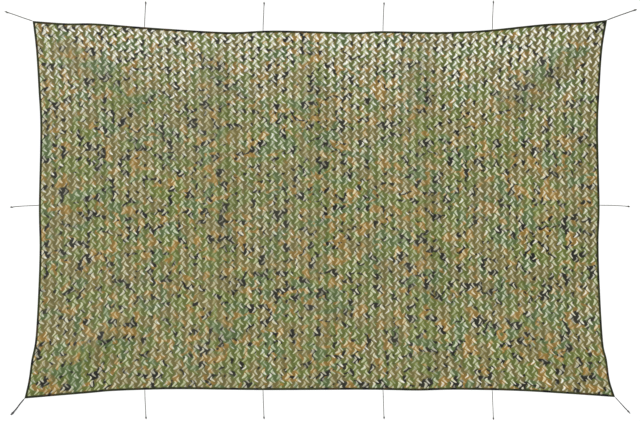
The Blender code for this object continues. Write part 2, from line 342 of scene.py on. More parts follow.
def soft_noise(x, y, seed):
    """Smooth random values of -1 to 1 that change over a distance of 1."""
    random = np.random.default_rng(seed)
    low_x = math.floor(float(x.min()))
    low_y = math.floor(float(y.min()))
    shape = (math.ceil(float(x.max())) - low_x + 2, math.ceil(float(y.max())) - low_y + 2)
    values = random.uniform(-1.0, 1.0, shape)
    column = np.floor(x).astype(int)
    row = np.floor(y).astype(int)
    across = ease(x - column)
    up = ease(y - row)
    column -= low_x
    row -= low_y
    lower = values[column, row] * (1 - across) + values[column + 1, row] * across
    upper = values[column, row + 1] * (1 - across) + values[column + 1, row + 1] * across
    return lower * (1 - up) + upper * up


def fold_height(x, y):
    """The low folds that the cloth lies in."""
    highest = np.zeros_like(x)
    for x1, y1, x2, y2, half_width, height in FOLDS:
        length = math.hypot(x2 - x1, y2 - y1)
        along = ((x - x1) * (x2 - x1) + (y - y1) * (y2 - y1)) / length
        off = ((y - y1) * (x2 - x1) - (x - x1) * (y2 - y1)) / length
        crest = np.cos(np.clip(off / half_width, -1.0, 1.0) * math.pi / 2) ** 2
        ends = ease(along / FOLD_FADE) * ease((length - along) / FOLD_FADE)
        highest = np.maximum(highest, height * crest * ends)
    return highest


# Meshes and pieces


def add_object(context, name, data):
    made = bpy.data.objects.new(name, data)
    context.scene.collection.objects.link(made)
    return made


def add_piece(context, name, mesh, material):
    """Puts a piece of the net in the scene, riding on the frame."""
    mesh.materials.append(material)
    piece = add_object(context, name, mesh)
    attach(piece, "root")
    return piece


def lofted(name, sections, along, around):
    """A closed skin through a row of closed sections, with flat ends and a map in metres."""
    count, sides, _ = sections.shape
    i = np.repeat(np.arange(count - 1), sides)
    j = np.tile(np.arange(sides), count - 1)
    k = (j + 1) % sides
    faces = np.stack([i * sides + j, i * sides + k, (i + 1) * sides + k, (i + 1) * sides + j], axis=1)
    ends = [list(range(sides)), list(range((count - 1) * sides, count * sides))]
    mesh = bpy.data.meshes.new(name)
    mesh.from_pydata(sections.reshape(-1, 3).tolist(), [], faces.tolist() + ends)
    corners = np.stack(
        [
            np.stack([along[i], along[i], along[i + 1], along[i + 1]], axis=1),
            np.stack([around[j], around[j + 1], around[j + 1], around[j]], axis=1),
        ],
        axis=2,
    )
    placed = np.concatenate([corners.reshape(-1, 2), np.zeros((2 * sides, 2))])
    mesh.uv_layers.new(name=MAP).uv.foreach_set("vector", placed.astype(np.float32).ravel())
    shape = bmesh.new()
    shape.from_mesh(mesh)
    bmesh.ops.recalc_face_normals(shape, faces=shape.faces)
    shape.to_mesh(mesh)
    shape.free()
    mesh.shade_smooth()
    return mesh


# Ties


TWIST = 3.6  # a cord's lay, in its diameters
STRANDS = 3
STRAND_SIDES = 4  # round each strand
GROOVE = 0.20  # depth of the groove between strands, in the cord's radius
CORD_STEP = 0.0025
TUCK = 0.010  # how far a tie runs into the folded tape
TUCKED_THICK = 0.65  # a tie's thickness inside the tape, as a share of its own
TUCKED_HIGH = 0.45  # and its greatest radius there, in the tape's height
WRAP_TURNS = 2.25
WRAP_STEPS = 44
WRAP_OFF = 0.46  # from the cord's axis to the nearest side of a turn, in the cord's radius
# The next three are before the kind's own share for the turns
WRAP_THICK = 0.96  # a turn's thickness, in the cord's
WRAP_HIGH = 1.96  # a turn's thickness and a little more, in the cord's radius: what a knot lies on
WRAP_PITCH = 1.9  # the way along the cord for each turn, in the cord's radius
WRAP_END = 0.16  # share of the turns over which each end sinks into the cord
KNOT_RISE = 0.030  # over which a tie climbs to its knot
TAIL = 0.009


def twisted(path, ups, radii, along):
    """The closed sections of a twisted cord along a path."""
    ahead = unit(np.gradient(path, axis=0))
    beside = unit(np.cross(ahead, ups))
    above = np.cross(beside, ahead)
    sides = STRANDS * STRAND_SIDES
    angle = np.arange(sides) * 2 * math.pi / sides
    turn = along / (TWIST * 2 * radii.mean()) * 2 * math.pi
    lobe = np.abs(np.cos(STRANDS / 2 * angle))
    reach = radii[:, None] * (1 - GROOVE + GROOVE * lobe)
    spun = angle[None] + turn[:, None]
    outward = np.cos(spun)[..., None] * beside[:, None] + np.sin(spun)[..., None] * above[:, None]
    return path[:, None] + outward * reach[..., None]


def cord_mesh(name, path, ups, radii):
    along = distances(path)
    sections = twisted(path, ups, radii, along)
    around = np.linspace(0.0, 2 * math.pi * float(radii.mean()), sections.shape[1] + 1)
    return lofted(name, sections, along, around)


def tie_path(route, kind, sizes):
    """A tie's centre line, from inside the tape to the end of its tail, with its radii."""
    thin, thick, turns = kind
    plan = smooth_curve(route)
    first = unit(plan[1] - plan[0])
    last = unit(plan[-1] - plan[-2])
    radius = sizes.cord / 2
    knot = WRAP_TURNS * WRAP_PITCH * radius * thick * turns
    end = plan[-1] + last * (knot + TAIL * thick)
    plan = np.vstack([plan[:1] - first * TUCK, plan, end[None]])
    whole = distances(plan)[-1]
    along = np.linspace(0.0, whole, round(whole / CORD_STEP) + 1)
    flat = at_distances(plan, along)
    route_share = np.clip((along - TUCK) / (whole - TUCK), 0.0, 1.0)
    radii = radius * (thin + (thick - thin) * route_share)
    knot_start = whole - knot - TAIL * thick
    raised = (WRAP_OFF + WRAP_HIGH * turns) * radius * thick
    climb = ease((along - knot_start + KNOT_RISE) / KNOT_RISE)
    climb *= ease((whole + TAIL - along) / (2 * TAIL))
    tucked = 1 - ease((along - TUCK) / (2 * TUCK))
    ground = radii + sizes.gap
    height = ground + (raised - radii) * climb
    height += (sizes.tape_height / 2 - ground) * tucked
    slim = np.minimum(TUCKED_THICK * radii, TUCKED_HIGH * sizes.tape_height)
    radii = radii + (slim - radii) * tucked
    return np.column_stack([flat, height]), radii, (knot_start, knot_start + knot)


def wrap_path(path, radii, span, turns):
    """The turns of a knot round its own cord, with the directions away from the cord."""
    along = distances(path)
    start, stop = span
    share = np.linspace(0.0, 1.0, WRAP_STEPS)
    middle = at_distances(path, start + (stop - start) * share)
    radius = float(np.interp(stop, along, radii))
    ahead = unit(middle[-1] - middle[0])
    beside = np.cross(ahead, (0.0, 0.0, 1.0))
    above = np.cross(beside, ahead)
    angle = share * WRAP_TURNS * 2 * math.pi
    outward = np.cos(angle)[:, None] * beside + np.sin(angle)[:, None] * above
    sunk = ease(share / WRAP_END) * ease((1 - share) / WRAP_END)
    off = (WRAP_OFF + WRAP_THICK * turns) * radius * sunk
    return middle + outward * off[:, None], outward, np.full(len(share), radius * WRAP_THICK * turns)


# Materials


def add_node(tree, kind, inputs=None, **settings):
    """Adds a node, sets its options, and links or sets the sockets named."""
    node = tree.nodes.new(kind)
    for name, value in settings.items():
        setattr(node, name, value)
    for name, value in (inputs or {}).items():
        if isinstance(value, bpy.types.NodeSocket):
            tree.links.new(value, node.inputs[name])
        else:
            node.inputs[name].default_value = value
    return node


def math_node(tree, operation, first, second=0.0, third=0.0):
    sockets = {0: first, 1: second, 2: third}
    return add_node(tree, "ShaderNodeMath", sockets, operation=operation).outputs[0]


def mix_colours(tree, share, first, second, blend="MIX"):
    sockets = {0: share, 6: first, 7: second}
    return add_node(tree, "ShaderNodeMix", sockets, data_type="RGBA", blend_type=blend).outputs[2]


def new_group(name, inputs, outputs):
    """An empty node group with its sockets, and its two end nodes."""
    group = bpy.data.node_groups.new(name, "ShaderNodeTree")
    for label, kind in inputs:
        group.interface.new_socket(name=label, in_out="INPUT", socket_type=kind)
    for label, kind in outputs:
        group.interface.new_socket(name=label, in_out="OUTPUT", socket_type=kind)
    return group, group.nodes.new("NodeGroupInput"), group.nodes.new("NodeGroupOutput")


# The print's patches, each over the ones before: colour, shift of the noise, size in metres, how
# much longer they are along the net, the noise's level at their edge, and the edge's softness
PATCHES = (
    ("Leaf", 3.1, 0.17, 1.1, 0.51, 0.030),
    ("Moss", 7.3, 0.18, 1.2, 0.59, 0.030),
    ("Earth", 11.7, 0.095, 1.15, 0.61, 0.020),
    ("Bark", 23.9, 0.085, 1.1, 0.60, 0.012),
)
PATCH_SHIFT = (1.0, 0.7, 0.3)


def blotches(tree, place, shift, size, stretch, level, softness):
    """A mask of soft-edged patches, about as large as the size, wider by the stretch."""
    moved = add_node(
        tree,
        "ShaderNodeMapping",
        {
            "Vector": place,
            "Location": [shift * part for part in PATCH_SHIFT],
            "Scale": (1 / (size * stretch), 1 / size, 1),
        },
    )
    noise = add_node(
        tree,
        "ShaderNodeTexNoise",
        {"Vector": moved.outputs[0], "Scale": 1.0, "Detail": 1.0, "Roughness": 0.45, "Distortion": 0.6},
    )
    edge = add_node(
        tree,
        "ShaderNodeMapRange",
        {"Value": noise.outputs["Fac"], "From Min": level - softness, "From Max": level + softness},
        interpolation_type="SMOOTHSTEP",
    )
    return edge.outputs[0]


def print_group():
    """Woodland patches in four colours on a ground, over a surface measured in metres."""
    found = bpy.data.node_groups.get("Woodland print")
    if found:
        return found
    colours = ("Ground", *(patch[0] for patch in PATCHES))
    group, start, end = new_group(
        "Woodland print",
        [("Place", "NodeSocketVector"), *((name, "NodeSocketColor") for name in colours)],
        [("Colour", "NodeSocketColor")],
    )
    colour = start.outputs["Ground"]
    for name, *form in PATCHES:
        mask = blotches(group, start.outputs["Place"], *form)
        colour = mix_colours(group, mask, colour, start.outputs[name])
    group.links.new(colour, end.inputs["Colour"])
    return group


def weave_group():
    """A plain weave: threads over and under each other, as a height."""
    found = bpy.data.node_groups.get("Plain weave")
    if found:
        return found
    group, start, end = new_group(
        "Plain weave",
        [("Place", "NodeSocketVector"), ("Threads per metre", "NodeSocketFloat")],
        [("Height", "NodeSocketFloat")],
    )
    scaled = add_node(
        group,
        "ShaderNodeVectorMath",
        {0: start.outputs["Place"], "Scale": start.outputs["Threads per metre"]},
        operation="SCALE",
    )
    parts = add_node(group, "ShaderNodeSeparateXYZ", {0: scaled.outputs[0]})
    threads = []
    squares = []
    for axis in "XY":
        inside = math_node(group, "FRACT", parts.outputs[axis])
        threads.append(math_node(group, "SINE", math_node(group, "MULTIPLY", inside, math.pi)))
        squares.append(math_node(group, "FLOOR", parts.outputs[axis]))
    total = math_node(group, "ABSOLUTE", math_node(group, "ADD", *squares))
    over = math_node(group, "MODULO", total, 2.0)
    under = math_node(group, "SUBTRACT", 1.0, over)
    crossed = [math_node(group, "MULTIPLY", *pair) for pair in zip(threads, (over, under))]
    group.links.new(math_node(group, "ADD", *crossed), end.inputs["Height"])
    return group


def fade_group():
    """Slow changes over a surface, as where cloth has faded or gathered dust."""
    found = bpy.data.node_groups.get("Fading")
    if found:
        return found
    group, start, end = new_group(
        "Fading",
        [("Place", "NodeSocketVector"), ("Scale", "NodeSocketFloat")],
        [("Mask", "NodeSocketFloat")],
    )
    place, scale = start.outputs["Place"], start.outputs["Scale"]
    sockets = {"Vector": place, "Scale": scale, "Detail": 4.0, "Roughness": 0.6}
    noise = add_node(group, "ShaderNodeTexNoise", sockets).outputs["Fac"]
    spread = add_node(group, "ShaderNodeMapRange", {"Value": noise, "From Min": 0.3, "From Max": 0.7})
    group.links.new(spread.outputs[0], end.inputs["Mask"])
    return group


def use_group(tree, group, inputs):
    return add_node(tree, "ShaderNodeGroup", inputs, node_tree=group)


def printed(tree, place, *colours):
    """The woodland print in the given ground, leaf, moss, earth and bark colours."""
    names = ("Ground", *(patch[0] for patch in PATCHES))
    sockets = {name: opaque(colour) for name, colour in zip(names, colours)}
    return use_group(tree, print_group(), {"Place": place, **sockets}).outputs[0]


def new_material(name, roughness, sheen=0.0):
    """A material, its tree, its shader and its place on the cloth's map."""
    material = bpy.data.materials.new(name)
    material.use_nodes = True
    tree = material.node_tree
    shader = tree.nodes["Principled BSDF"]
    shader.inputs["Roughness"].default_value = roughness
    shader.inputs["Specular IOR Level"].default_value = 0.25
    shader.inputs["Sheen Weight"].default_value = sheen
    shader.inputs["Sheen Roughness"].default_value = 0.5
    place = add_node(tree, "ShaderNodeUVMap", uv_map=MAP).outputs[0]
    return material, tree, shader, place


def opaque(colour):
    return (*colour, 1.0)


def darker(colour, share):
    return tuple(part * share for part in colour)


def add_bump(tree, shader, height, distance, strength):
    sockets = {"Height": height, "Distance": distance, "Strength": strength}
    bump = add_node(tree, "ShaderNodeBump", sockets)
    tree.links.new(bump.outputs[0], shader.inputs["Normal"])


CLOTH_THREADS = 900.0  # in a metre
CLOTH_SMOOTH = 0.5  # roughness where the cloth is least worn, and how much wear adds
CLOTH_WORN = 0.2
DUST = 0.3  # how much of the print the thickest dust hides
LEAF_SHADE = 0.5  # how much the deepest painted shade, beside a leaf and on the steep ribbons, takes from the print
SHOW_THROUGH = 0.36  # how faintly the print shows on the reverse, as a gamma


def printed_cloth(colours):
    """The net's thin printed cloth, with its pale reverse underneath and painted light on top.

    The leaves take the reverse's pale colour as a painted highlight, and painted shade darkens the
    print beside them and on the steep ribbons.
    """
    material, tree, shader, place = new_material("printed_cloth", CLOTH_SMOOTH)
    patches = (colours.leaf, colours.moss, colours.earth, colours.bark)
    pattern = printed(tree, place, colours.ground, *patches)
    faded = use_group(tree, fade_group(), {"Place": place, "Scale": 2.2}).outputs[0]
    weave = use_group(tree, weave_group(), {"Place": place, "Threads per metre": CLOTH_THREADS})
    worn = mix_colours(tree, faded, (0.86, 0.88, 0.92, 1.0), (1.12, 1.1, 1.04, 1.0))
    toned = mix_colours(tree, 1.0, pattern, worn, "MULTIPLY")
    dusty = use_group(tree, fade_group(), {"Place": place, "Scale": 0.9}).outputs[0]
    toned = mix_colours(tree, math_node(tree, "MULTIPLY", dusty, DUST), toned, opaque(colours.dust))
    seen_through = add_node(tree, "ShaderNodeGamma", {"Color": toned, "Gamma": SHOW_THROUGH}).outputs[0]
    depth = add_node(tree, "ShaderNodeRGBToBW", {"Color": pattern}).outputs[0]
    # The reverse is palest behind the darkest print, as the light parts of the print show through
    unprinted = add_node(
        tree,
        "ShaderNodeMapRange",
        {"Value": depth, "From Min": 0.01, "From Max": 0.08, "To Min": 0.95, "To Max": 0.28},
    ).outputs[0]
    reverse = mix_colours(tree, unprinted, seen_through, opaque(colours.reverse))
    # Painted light: above zero the leaves take the reverse's pale colour as a painted highlight, below
    # zero the print is darkened as painted shade
    leaf = add_node(tree, "ShaderNodeAttribute", attribute_name=LEAF_PAINTED_LIGHT).outputs["Fac"]
    shaded = math_node(tree, "MINIMUM", leaf, 0.0)
    light = math_node(tree, "MULTIPLY_ADD", shaded, LEAF_SHADE, 1.0)
    toned = mix_colours(tree, 1.0, toned, light, "MULTIPLY")
    behind = add_node(tree, "ShaderNodeNewGeometry").outputs["Backfacing"]
    pale = math_node(tree, "MAXIMUM", behind, leaf)
    tree.links.new(mix_colours(tree, pale, toned, reverse), shader.inputs["Base Color"])
    rough = math_node(tree, "MULTIPLY_ADD", faded, CLOTH_WORN, CLOTH_SMOOTH)
    tree.links.new(rough, shader.inputs["Roughness"])
    add_bump(tree, shader, weave.outputs["Height"], 0.0002, 0.4)
    return material


TAPE_THREADS = 700.0  # in a metre


def woven_tape(colours):
    """The dark tape folded over the net's edge."""
    material, tree, shader, place = new_material("woven_tape", 0.8, 0.02)
    dark = darker(colours.tape, 0.55)
    pattern = printed(tree, place, colours.tape, dark, colours.tape, colours.tape_brown, colours.bark)
    weave = use_group(tree, weave_group(), {"Place": place, "Threads per metre": TAPE_THREADS})
    tree.links.new(pattern, shader.inputs["Base Color"])
    add_bump(tree, shader, weave.outputs["Height"], 0.0003, 0.5)
    return material


def uneven(tree, shader, place, scale, colour, share):
    """Gives a shader the colour, with patches of it at the given share of its brightness."""
    faded = use_group(tree, fade_group(), {"Place": place, "Scale": scale}).outputs[0]
    mixed = mix_colours(tree, faded, opaque(darker(colour, share)), opaque(colour))
    tree.links.new(mixed, shader.inputs["Base Color"])


def spun_cord(name, colour):
    """Dull cord of spun fibres."""
    material, tree, shader, place = new_material(name, 0.85, 0.03)
    stretched = add_node(tree, "ShaderNodeMapping", {"Vector": place, "Scale": (400.0, 2500.0, 1.0)})
    fibres = add_node(
        tree, "ShaderNodeTexNoise", {"Vector": stretched.outputs[0], "Scale": 1.0, "Detail": 3.0}
    ).outputs["Fac"]
    uneven(tree, shader, place, 30.0, colour, 0.6)
    add_bump(tree, shader, fibres, 0.0004, 0.6)
    return material


def sewing_thread(colours):
    material, tree, shader, place = new_material("sewing_thread", 0.6)
    uneven(tree, shader, place, 60.0, colours.thread, 0.7)
    return material


# The stage

FLOOR_SIDE = 240.0
FLOOR_DROP = 0.0004  # keeps the floor clear of the tape's flat underside
PICTURE_MIDDLE = (0.003, -0.014)
PICTURE_WIDTH = 6.72
LENS = 85.0
SENSOR = 36.0
SUN_HEADING = (-0.5, 0.45, 0.85)  # towards the sun
SUN_STRENGTH = 4.1
SUN_WIDTH = math.radians(8)
SKY_STRENGTH = 0.26


class NET_OT_stage(bpy.types.Operator):
    """Set up the pale floor, soft light and camera straight above the net"""

    bl_idname = "net.stage"
    bl_label = "Floor, light and camera"

    def execute(self, context):
        scene = context.scene
        scene.view_settings.view_transform = "Standard"
        mesh = bpy.data.meshes.new("floor")
        half = FLOOR_SIDE / 2
        plan = ((-half, -half), (half, -half), (half, half), (-half, half))
        mesh.from_pydata([(x, y, -FLOOR_DROP) for x, y in plan], [], [(0, 1, 2, 3)])
        material = bpy.data.materials.new("pale_floor")
        material.use_nodes = True
        shader = material.node_tree.nodes["Principled BSDF"]
        shader.inputs["Base Color"].default_value = opaque(scene.net_colours.floor)
        shader.inputs["Roughness"].default_value = 0.95
        shader.inputs["Specular IOR Level"].default_value = 0.1
        mesh.materials.append(material)
        floor = add_object(context, "floor", mesh)
        world = bpy.data.worlds.new("studio")
        world.use_nodes = True
        tree = world.node_tree
        sky = tree.nodes["Background"]
        sky.inputs["Color"].default_value = (0.96, 0.98, 1.0, 1.0)
        sky.inputs["Strength"].default_value = SKY_STRENGTH
        wall = add_node(tree, "ShaderNodeBackground", {"Color": (0.9, 0.9, 0.9, 1.0)})
        seen = add_node(tree, "ShaderNodeLightPath").outputs["Is Camera Ray"]
        either = add_node(tree, "ShaderNodeMixShader", {0: seen, 1: sky.outputs[0], 2: wall.outputs[0]})
        tree.links.new(either.outputs[0], tree.nodes["World Output"].inputs["Surface"])
        scene.world = world
        sun = bpy.data.lights.new("sun", "SUN")
        sun.energy = SUN_STRENGTH
        sun.angle = SUN_WIDTH
        lamp = add_object(context, "sun", sun)
        lamp.rotation_euler = Vector(SUN_HEADING).to_track_quat("Z", "Y").to_euler()
        camera = bpy.data.cameras.new("camera")
        camera.lens = LENS
        camera.sensor_width = SENSOR
        camera.clip_end = 200.0
        above = add_object(context, "camera", camera)
        above.location = (*PICTURE_MIDDLE, PICTURE_WIDTH * LENS / SENSOR)
        scene.camera = above
        return {"FINISHED"}


class NET_OT_ties(bpy.types.Operator):
    """Lay out the fourteen knotted ties"""

    bl_idname = "net.ties"
    bl_label = "Ties"

    def execute(self, context):
        sizes = context.scene.net_sizes
        colours = context.scene.net_colours
        pale = spun_cord("spun_cord", colours.cord)
        dark = spun_cord("dark_cord", colours.dark_cord)
        for name, kind, route in TIES:
            material = dark if kind is LOWER else pale
            path, radii, span = tie_path(route, kind, sizes)
            ups = np.tile((0.0, 0.0, 1.0), (len(path), 1))
            cord = add_piece(
                context, name + "_cord", cord_mesh(name, path, ups, radii), material
            )
            wrap, outward, thickness = wrap_path(path, radii, span, kind[2])
            knot_mesh = cord_mesh(name + "_knot", wrap, outward, thickness)
            knot = add_piece(context, name + "_knot", knot_mesh, material)
            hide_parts(name)
        return {"FINISHED"}


# The edge tape

TAPE_STEP = 0.02
FOLD_STEPS = 7  # points round the tape's fold
TAPE_NAMES = ("binding_bottom", "binding_right", "binding_top", "binding_left")
PUCKER = 0.0005  # height of the tape's slow ripples, and their sizes along and across it
PUCKER_ALONG = 0.045
PUCKER_ACROSS = 0.02
STITCH_PITCH = 0.010
STITCH = 0.0072
STITCH_LINE = 0.016  # from the tape's outer fold
STITCH_DIP = 0.0005  # how far the stitches draw the tape in
STITCH_SIDES = 4


def inset(loop, distance):
    """The loop with each of its straight pieces moved in by the distance."""
    inward = leftward(unit(np.roll(loop, -1, axis=0) - loop))
    both = inward + np.roll(inward, 1, axis=0)
    mitre = both * 2 / (both * both).sum(axis=1)[:, None]
    return loop + mitre * distance


def outline():
    """The tape's outer fold, anticlockwise from the lower left corner, and where each side starts."""
    loop = []
    starts = [0]
    for edge in (BOTTOM_EDGE, RIGHT_EDGE, TOP_EDGE[::-1], LEFT_EDGE[::-1]):
        line = smooth_curve(edge)
        steps = round(distances(line)[-1] / TAPE_STEP)
        loop.append(at_shares(line, np.linspace(0.0, 1.0, steps, endpoint=False)))
        starts.append(starts[-1] + steps)
    return np.vstack(loop), starts


def tape_profile(sizes):
    """A section through the folded tape: distances in from the fold, and heights."""
    width = sizes.tape_width
    thick = sizes.tape_thick
    high = sizes.tape_height
    bend = high / 2
    turn = np.linspace(-math.pi / 2, math.pi / 2, FOLD_STEPS)

    def round_fold(radius):
        return [(bend - math.cos(angle) * radius, bend + math.sin(angle) * radius) for angle in turn]

    outside = round_fold(bend)
    inside = round_fold(bend - thick)[::-1]
    low = [(width, 0.0), (width * 0.7, 0.0), (width * 0.4, 0.0)]
    over = [(width * 0.4, high), (STITCH_LINE, high - STITCH_DIP), (width, high)]
    under_top = [(width, high - thick), (width * 0.5, high - thick)]
    under_low = [(width * 0.5, thick), (width, thick)]
    return np.array(low + outside + over + under_top + inside + under_low)


class NET_OT_tape(bpy.types.Operator):
    """Fold the dark tape over the net's edge"""

    bl_idname = "net.tape"
    bl_label = "Edge tape"

    def execute(self, context):
        sizes = context.scene.net_sizes
        colours = context.scene.net_colours
        loop, starts = outline()
        profile = tape_profile(sizes)
        around = distances(closed(profile))
        material = woven_tape(colours)
        lines = [closed(inset(loop, distance)) for distance, _ in profile]
        for name, first, last in zip(TAPE_NAMES, starts, starts[1:]):
            flat = np.stack([line[first : last + 1] for line in lines], axis=1)
            along = distances(flat[:, 0])
            heights = np.tile(profile[:, 1], (len(flat), 1))
            spots = np.meshgrid(along / PUCKER_ALONG, profile[:, 0] / PUCKER_ACROSS, indexing="ij")
            wander = soft_noise(*spots, sizes.seed + first) * (profile[:, 1] > sizes.tape_height * 0.6)
            heights = heights + wander * PUCKER
            sections = np.concatenate([flat, heights[..., None]], axis=2)
            sections = trimmed_ends(sections, sizes.gap)
            mesh = lofted(name + "_tape", sections, along, around)
            tape = add_piece(context, name + "_tape", mesh, material)
            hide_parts(name)
        return {"FINISHED"}


def trimmed_ends(sections, gap):
    """The sections with the first and last drawn back by the gap."""
    made = sections.copy()
    for end, neighbour in ((0, 1), (-1, -2)):
        step = sections[neighbour] - sections[end]
        made[end] = sections[end] + unit(step) * gap
    return made


class NET_OT_stitches(bpy.types.Operator):
    """Sew the stitch line round the tape"""

    bl_idname = "net.stitches"
    bl_label = "Stitches"

    def execute(self, context):
        sizes = context.scene.net_sizes
        loop, starts = outline()
        material = sewing_thread(context.scene.net_colours)
        seam = closed(inset(loop, STITCH_LINE))
        for name, first, last in zip(TAPE_NAMES, starts, starts[1:]):
            line = seam[first : last + 1]
            whole = distances(line)[-1]
            centres = np.arange(STITCH_PITCH, whole - STITCH_PITCH / 2, STITCH_PITCH)
            begin = at_distances(line, centres - STITCH / 2)
            finish = at_distances(line, centres + STITCH / 2)
            mesh = stitch_mesh(name + "_stitches", begin, finish, sizes)
            add_piece(context, name + "_stitches", mesh, material)
        return {"FINISHED"}


def stitch_mesh(name, begin, finish, sizes):
    """Many short stitches in one mesh, each diving into the tape at both ends."""
    beside = leftward(unit(finish - begin))
    top = sizes.tape_height
    radius = sizes.thread / 2
    steps = ((0.0, -radius), (0.2, radius * 0.7), (0.8, radius * 0.7), (1.0, -radius))
    points = []
    for share, lift in steps:
        middle = begin + (finish - begin) * share
        for side in range(STITCH_SIDES):
            angle = (side + 0.5) * 2 * math.pi / STITCH_SIDES
            flat = middle + beside * math.cos(angle) * radius
            height = np.full((len(begin), 1), top + lift + math.sin(angle) * radius)
            points.append(np.hstack([flat, height]))
    points = np.stack(points, axis=1)
    faces = []
    for row in range(0, (len(steps) - 1) * STITCH_SIDES, STITCH_SIDES):
        for side in range(STITCH_SIDES):
            after = (side + 1) % STITCH_SIDES
            ring = row + STITCH_SIDES
            faces.append((row + side, ring + side, ring + after, row + after))
    shift = (np.arange(len(begin)) * points.shape[1])[:, None, None]
    faces = (np.array(faces) + shift).reshape(-1, 4)
    mesh = bpy.data.meshes.new(name)
    mesh.from_pydata(points.reshape(-1, 3).tolist(), [], faces.tolist())
    mesh.uv_layers.new(name=MAP)
    mesh.shade_smooth()
    return mesh


# The cut cloth


def ribbon_line(ribbon):
    """The places of a ribbon's steps, from its left join to its right one, in repeats."""
    left_shift, right_shift, bow, _, _ = RIBBONS[ribbon]
    left = np.add(LEFT_JOIN, left_shift)
    right = np.add(RIGHT_JOIN, right_shift)
    run = right - left
    beside = leftward(unit(run))
    share = np.linspace(0.0, 1.0, RIBBON_STEPS + 1)[:, None]
    return left + run * share + beside * bow * 4 * share * (1 - share)


def ribbon_marks(ribbon):
    """The numbers of a ribbon's points within a repeat, each with the repeat that it is in."""
    left_shift, right_shift, _, _, _ = RIBBONS[ribbon]
    first = 2 + ribbon * (RIBBON_STEPS - 1)
    inner = [(first + step, (0, 0)) for step in range(RIBBON_STEPS - 1)]
    return [(0, left_shift), *inner, (1, right_shift)]


def field_marks(field):
    """The marks round a slit's field, anticlockwise, from above the slit's upper end."""
    marks = []
    for ribbon, (right, up), backwards in field:
        run = ribbon_marks(ribbon)
        if backwards:
            run = run[::-1]
        marks += [(mark, (x + right, y + up)) for mark, (x, y) in run[:-1]]
    return marks


ROUND_SLIT = 4 * RIBBON_STEPS
FIXED_MARKS = 2 + len(RIBBONS) * (RIBBON_STEPS - 1)
MARKS = FIXED_MARKS + len(SLITS) * len(LOOPS) * ROUND_SLIT


def repeat_faces():
    """The four-sided faces of one repeat: for each corner its mark and its repeat."""
    faces = []
    for slit, (_, _, _, field) in enumerate(SLITS):
        loops = []
        for ring in range(len(LOOPS)):
            first = FIXED_MARKS + (slit * len(LOOPS) + ring) * ROUND_SLIT
            loops.append([(first + k, (0, 0)) for k in range(ROUND_SLIT)])
        loops.append(field_marks(field))
        for inner, outer in zip(loops, loops[1:]):
            for k in range(ROUND_SLIT):
                after = (k + 1) % ROUND_SLIT
                faces.append((inner[k], outer[k], outer[after], inner[after]))
    return faces


def fixed_places():
    """The places of a repeat's joins and ribbons."""
    inner = [ribbon_line(ribbon)[1:-1] for ribbon in range(len(RIBBONS))]
    return np.vstack([[LEFT_JOIN], [RIGHT_JOIN], *inner])


def fixed_values(at_joins, at_ribbons):
    """A repeat's values at its joins and along its ribbons, whose own values are at their middles."""
    share = np.sin(np.linspace(0.0, math.pi, RIBBON_STEPS + 1)[1:-1]) ** 0.7
    inner = [at_joins + (value - at_joins) * share for value in at_ribbons]
    return np.concatenate([[at_joins, at_joins], *inner])


def field_places(field):
    fixed = fixed_places()
    return np.array([fixed[mark] + np.array(shift) for mark, shift in field_marks(field)])


def slit_lip(slit, width, tilt, balance):
    """The places round a slit's lips in every repeat, with a leaf's direction and width at each.

    Also each place's share of the run, and whether it is on the raised lip. width is how far each
    slit gapes, tilt how far it turns about its bend, and balance its raised lip's share.
    """
    (upper, bend, lower), raised_right, tip, _ = slit
    upper, bend, lower = (np.array(point) for point in (upper, bend, lower))
    k = np.arange(ROUND_SLIT)
    way = np.minimum(k / tip, (ROUND_SLIT - k) / (ROUND_SLIT - tip))
    share = (1 - np.cos(math.pi * way)) / 2
    s = share[:, None]
    weights = np.hstack([(1 - s) ** 2, 2 * SLIT_BEND * s * (1 - s), s * s])
    run = weights @ np.stack([upper, bend, lower]) / weights.sum(axis=1)[:, None]
    ahead = SLIT_BEND * ((1 - s) ** 2 * (bend - upper) + s * s * (lower - bend))
    ahead += s * (1 - s) * (lower - upper)
    left = leftward(unit(ahead))
    gape = share**0.5 * (1 - share) ** 0.3 / GAPE_PEAK
    right_side = (k > 0) & (k < tip)
    left_side = k > tip
    raised = right_side if raised_right else left_side
    side = left_side * 1.0 - right_side
    part = np.where(raised, balance[..., None], 1 - balance[..., None]) * side
    off = gape * part * width[..., None]
    places = turned(run + left * off[..., None] - bend, tilt)
    spread = gape * side * np.where(raised, RAISED_LEAF, LOW_LEAF)
    away = turned(left * spread[:, None], tilt)
    return bend + places, away, share, raised


def turned(places, tilt):
    """The places turned about zero, by another angle in each repeat."""
    x, y = places[..., 0], places[..., 1]
    cosine, sine = np.cos(tilt)[..., None], np.sin(tilt)[..., None]
    return np.stack([x * cosine - y * sine, x * sine + y * cosine], axis=-1)


def opening_map(s, t, sizes, folded):
    """How wide the slits gape over the net, as a share of one repeat."""
    up = t / sizes.rows
    wide_top = WIDE_TOP * np.clip((up - WIDE_START) / WIDE_REACH, 0.0, 1.0) ** WIDE_POWER
    from_side = ease((np.minimum(s, sizes.columns - s) - SIDE_START) / SIDE_REACH)
    from_hem = ease(np.minimum(t, sizes.rows - t) - HEM_START)
    held = (SIDE_GAPE + (1 - SIDE_GAPE) * from_side) * (HEM_GAPE + (1 - HEM_GAPE) * from_hem)
    return (sizes.opening + wide_top) * held * (1 - FOLD_LOSS * folded)


def shares_on_net(s, t, sizes):
    """Places in repeats as shares of the net's length and width. Its rows arch a little."""
    u = np.clip(s / sizes.columns, 0.0, 1.0)
    v = np.clip(t / sizes.rows, 0.0, 1.0)
    arch = ARCH * np.sin(math.pi * u**ARCH_SKEW) * np.sin(math.pi * v)
    return u, np.clip(v + arch, 0.0, 1.0)


